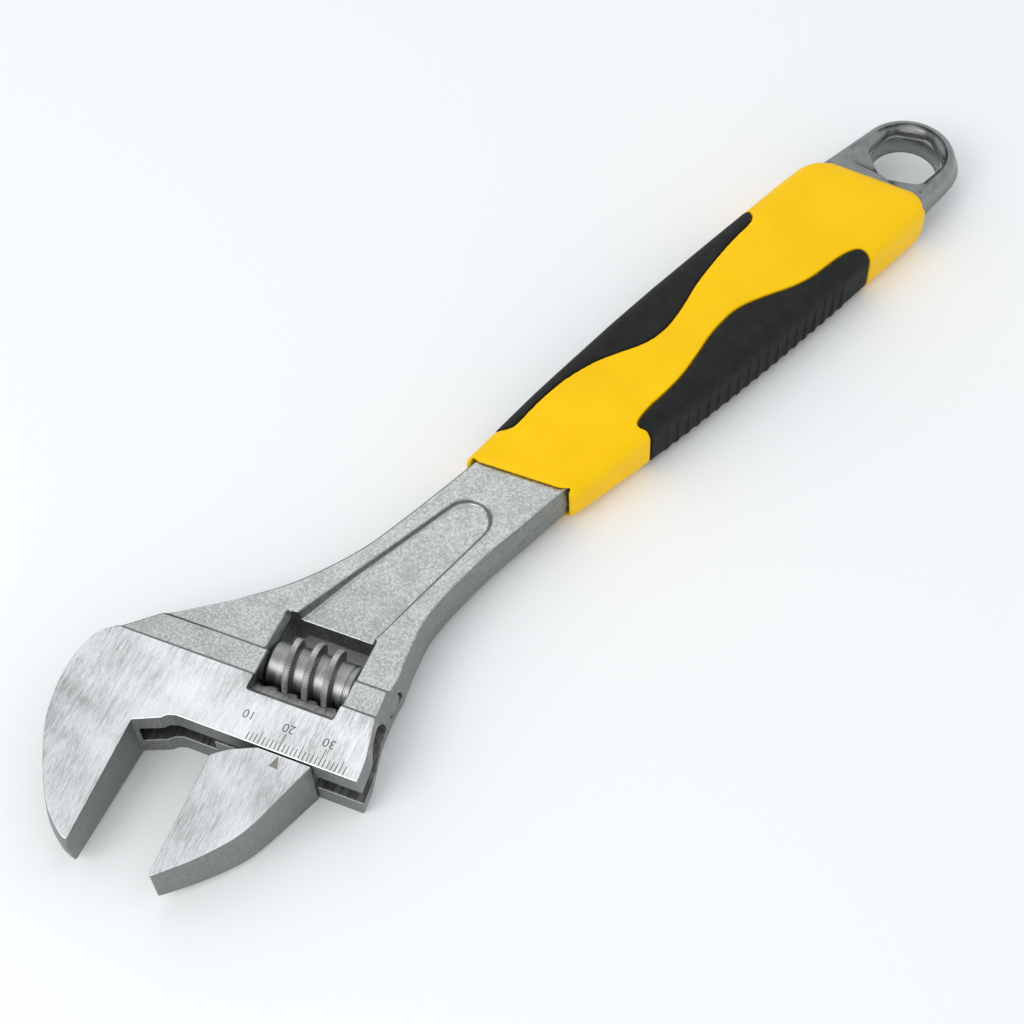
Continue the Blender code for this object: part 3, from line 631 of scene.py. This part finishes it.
def make_spring(look):
    """The take-up spring as a fine round wire."""
    start, end = WORM_ENDS[1] - SPRING_LENGTH + 0.6, WORM_ENDS[1] - WIRE_RADIUS
    steps = round(COILS * COIL_STEPS)
    rings = []
    for step in range(steps + 1):
        share = step / steps
        angle = 2 * math.pi * COILS * share
        centre = Vector((start + (end - start) * share, 0, 0))
        out = Vector((0, math.cos(angle), math.sin(angle)))
        ring = []
        for k in range(WIRE_SIDES):
            turn = 2 * math.pi * k / WIRE_SIDES
            along = Vector((WIRE_RADIUS * math.sin(turn), 0, 0))
            point = centre + out * (COIL_RADIUS + WIRE_RADIUS * math.cos(turn)) + along
            ring.append(at(point.x, WORM_V + point.y, point.z))
        rings.append(ring)
    mesh = mesh_from(lofted(rings), "spring_form")
    mesh.shade_smooth()
    mesh.materials.append(look)
    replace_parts(add_piece("spring_form", mesh, "wrench_body"), "worm_spring")


# ---- Scale and pointer ------------------------------------------------------------------------------------
SCALE_ZERO = 14.4  # u of the scale's zero
SCALE_FIRST, SCALE_LAST, NUMBERS = 12, 36, (10, 20, 30)
TEN_REACH, FIVE_REACH, MARK_REACH = 9.4, 8.1, 7.1  # v of the marks' far ends
MARK_START, MARK_HALF, MARK_TAPER = SCALE_EDGE + 0.5, 0.12, 0.7
NUMBER_V, NUMBER_SIZE, NUMBER_THINNER = 10.9, 3.1, 0.02
LIFT, SUNK = 0.012, 0.05  # how far the marks stand over the face, and reach into it
JAW_TIP_HALF, JAW_LENGTH = 5.4, 31.4  # the moving jaw's face slopes down to its tip
POINTER = ((35.2, 3.9), (34.1, 1.0), (36.35, 0.95))


def plate(bm, outline, height):
    """Adds a thin plate to the bmesh: an outline in (u, v), with its top at height(v)."""
    skin(bm, [[at(u, v, height(v) + rise) for u, v in outline] for rise in (-SUNK, LIFT)])


def make_scale(look):
    """A mark for each millimetre, longer at the fives and the tens, and the numbers of the tens."""
    bm = bmesh.new()
    tip = MARK_HALF * MARK_TAPER
    for number in range(SCALE_FIRST, SCALE_LAST + 1):
        u = SCALE_ZERO + number
        reach = TEN_REACH if number % 10 == 0 else FIVE_REACH if number % 5 == 0 else MARK_REACH
        outline = [(u - MARK_HALF, MARK_START), (u + MARK_HALF, MARK_START),
                   (u + tip, reach), (u - tip, reach)]
        plate(bm, outline, lambda v: TOP)
    mesh = mesh_from(bm, "scale_marks")
    mesh.materials.append(look)
    add_piece("scale_marks", mesh, "wrench_body")
    for number in NUMBERS:
        curve = bpy.data.curves.new("number", "FONT")
        curve.body = str(number)
        curve.size = NUMBER_SIZE * MM
        curve.align_x = "CENTER"
        curve.align_y = "CENTER"
        curve.extrude = LIFT * MM
        curve.offset = -NUMBER_THINNER * MM
        helper = bpy.data.objects.new("number", curve)
        bpy.context.scene.collection.objects.link(helper)
        bpy.context.view_layer.update()
        mesh = bpy.data.meshes.new_from_object(helper.evaluated_get(bpy.context.evaluated_depsgraph_get()))
        bpy.data.objects.remove(helper)
        place = Matrix.Translation(((SCALE_ZERO + number) * MM, NUMBER_V * MM, TOP * MM))
        mesh.transform(HEAD @ place @ Matrix.Rotation(math.pi, 4, "Z"))
        mesh.materials.clear()
        mesh.materials.append(look)
        add_piece(f"scale_number_{number}", mesh, "wrench_body")


def make_pointer(look):
    """The triangle on the moving jaw that points at the scale."""
    slope = (TOP - JAW_TIP_HALF) / (JAW_LENGTH + SCALE_EDGE)
    bm = bmesh.new()
    plate(bm, POINTER, lambda v: TOP - (SCALE_EDGE - v) * slope)
    mesh = mesh_from(bm, "jaw_pointer")
    mesh.materials.append(look)
    add_piece("jaw_pointer", mesh, "sliding_jaw")


# ---- Grip -------------------------------------------------------------------------------------------------
VOXEL, SMOOTHING = 0.34 * MM, 7
RIB_COUNT, RIB_PITCH, RIB_RISE = 19, 3.6, 0.42
RIB_FIRST, RIB_TOP, RIB_BOTTOM, RIB_STEPS, RIB_SHARP = 6.6, 4.6, -6.4, 10, 60  # the last is in degrees
RIB_POINT, RIB_WIDENS, RIB_FOOT = 0.2, 0.75, 0.35  # half widths at and below the point; depth in the pad
RIB_SHOULDER_WIDTH, RIB_SHOULDER = 0.5, 0.8  # shares of the half width and of the rise
ASIDE = 0.02  # how far beside the pad the rays start, in metres


def softened(node):
    """A moulded form: the node remeshed finely, with every edge rounded off."""
    helper = bpy.data.objects.new("helper", clean_mesh(node))
    bpy.context.scene.collection.objects.link(helper)
    remesh = helper.modifiers.new("remesh", "REMESH")
    remesh.mode = "VOXEL"
    remesh.voxel_size = VOXEL
    smooth = helper.modifiers.new("smooth", "SMOOTH")
    smooth.iterations = SMOOTHING
    graph = bpy.context.evaluated_depsgraph_get()
    made = bpy.data.meshes.new_from_object(helper.evaluated_get(graph))
    bpy.data.objects.remove(helper)
    made.shade_smooth()
    return made


def make_grip(yellow, black):
    for node, name, look, slot in (
        ("grip_sleeve", "sleeve_form", yellow, "yellow_plastic"),
        ("grip_pad_left", "pad_form_left", black, "black_rubber"),
        ("grip_pad_right", "pad_form_right", black, "black_rubber"),
    ):
        mesh = softened(node)
        mesh.materials.clear()
        mesh.materials.append(look)
        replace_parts(add_piece(name, mesh, "wrench_body"), node)


def make_ribs(look):
    """Tapered ribs down the right pad's side, each pointed at its upper end."""
    pad = surface("grip_pad_right")
    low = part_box("grip_pad_right")[0]
    ribs = bmesh.new()
    for index in range(RIB_COUNT):
        x = low.x + (RIB_FIRST + RIB_PITCH * index) * MM
        rows = []
        for step in range(RIB_STEPS + 1):
            share = step / RIB_STEPS
            z = HALF + (RIB_TOP + (RIB_BOTTOM - RIB_TOP) * share) * MM
            place = pad.ray_cast(Vector((x, low.y - ASIDE, z)), Vector((0, 1, 0)))[0]
            if place is None:
                continue
            width = (RIB_POINT + RIB_WIDENS * min(1.0, share * 1.8)) * MM
            proud = RIB_RISE * MM * min(1.0, 2.2 * share + 0.05) * min(1.0, 6 * (1 - share) + 0.1)
            inner, shoulder = width * RIB_SHOULDER_WIDTH, -proud * RIB_SHOULDER
            section = ((-width, RIB_FOOT * MM), (-inner, shoulder), (0, -proud), (inner, shoulder),
                       (width, RIB_FOOT * MM))
            rows.append([Vector((x + dx, place.y + dy, z)) for dx, dy in section])
        part = mesh_from(lofted(rows), "rib")
        ribs.from_mesh(part)
        bpy.data.meshes.remove(part)
    mesh = mesh_from(ribs, "pad_ribs")
    smoothed(mesh, RIB_SHARP)
    mesh.materials.append(look)
    add_piece("pad_ribs", mesh, "wrench_body")


# ---- Camera, light and floor ------------------------------------------------------------------------------
CAMERA_RIGHT, CAMERA_FORWARD = Vector((0.92219, 0.38520, -0.03437)), Vector((-0.24153, 0.50426, -0.82909))
CAMERA_U, CAMERA_V, CAMERA_HEIGHT, CAMERA_LENS = 173.72, -157.97, 396.09, 70.31  # height over the head's face
SKY, SKY_STRENGTH, FLOOR_GREY, FLOOR_SIZE = (0.9, 0.93, 0.95, 1), 0.91, 0.92, 4


def make_camera():
    """The camera at the picture's viewing angle, placed in the head's coordinates."""
    up = CAMERA_RIGHT.cross(CAMERA_FORWARD)
    camera = bpy.data.objects.new("camera", bpy.data.cameras.new("camera"))
    camera.data.lens = CAMERA_LENS
    camera.data.clip_start = 0.01
    bpy.context.scene.collection.objects.link(camera)
    turn = HEAD.to_3x3() @ Matrix((CAMERA_RIGHT, up, -CAMERA_FORWARD)).transposed()
    place = at(CAMERA_U, CAMERA_V, CAMERA_HEIGHT + TOP)
    camera.matrix_world = Matrix.Translation(place) @ turn.to_4x4()
    bpy.context.scene.camera = camera


def area_light(name, place, target, size, power):
    """A rectangular light at a place in metres, aimed at a target."""
    light = bpy.data.lights.new(name, "AREA")
    light.shape = "RECTANGLE"
    light.size, light.size_y = size
    light.energy = power
    obj = bpy.data.objects.new(name, light)
    bpy.context.scene.collection.objects.link(obj)
    obj.location = place
    obj.rotation_euler = (Vector(target) - Vector(place)).to_track_quat("-Z", "Y").to_euler()


def make_studio():
    """A pale sky, two soft lights and a plain floor."""
    world = bpy.data.worlds.new("studio")
    world.use_nodes = True
    background = world.node_tree.nodes["Background"]
    background.inputs["Color"].default_value = SKY
    background.inputs["Strength"].default_value = SKY_STRENGTH
    bpy.context.scene.world = world
    area_light("key", (-0.85, 0.05, 0.8), (0, 0, 0), (0.7, 0.6), 3.9)
    area_light("sheen", (0.55, 0.75, 1.25), (0.02, 0, 0), (0.25, 0.9), 0.7)
    bm = bmesh.new()
    bmesh.ops.create_grid(bm, x_segments=1, y_segments=1, size=FLOOR_SIZE)
    floor = bpy.data.objects.new("floor", mesh_from(bm, "floor"))
    bpy.context.scene.collection.objects.link(floor)
    floor.data.materials.append(Tree("floor", grey(FLOOR_GREY), 0.9).material)
    bpy.context.scene.view_settings.view_transform = "Standard"


def main():
    make_camera()
    looks = {
        "ground": ground_steel(),
        "cast": cast_steel(),
        "side": side_steel(),
        "ring": ring_steel(),
        "milled": milled_steel(),
        "worm": turned_steel("worm_steel", 0.24, 0.42),
        "pin": turned_steel("pin_steel", 0.22, 0.3),
        "spring": turned_steel("spring_steel", 0.25, 0.4),
        "yellow": yellow_plastic(),
        "black": black_rubber(),
        "mark": mark_paint("scale_paint", 0.075, (1.0, 1.0, 1.0)),
        "pointer": mark_paint("pointer_paint", 0.22, (1.0, 0.97, 0.85)),
    }
    make_body(looks)
    make_jaw(looks)
    make_worm(looks["worm"])
    make_pin(looks["pin"])
    make_spring(looks["spring"])
    make_scale(looks["mark"])
    make_pointer(looks["pointer"])
    make_grip(looks["yellow"], looks["black"])
    make_ribs(looks["black"])
    make_studio()


main()
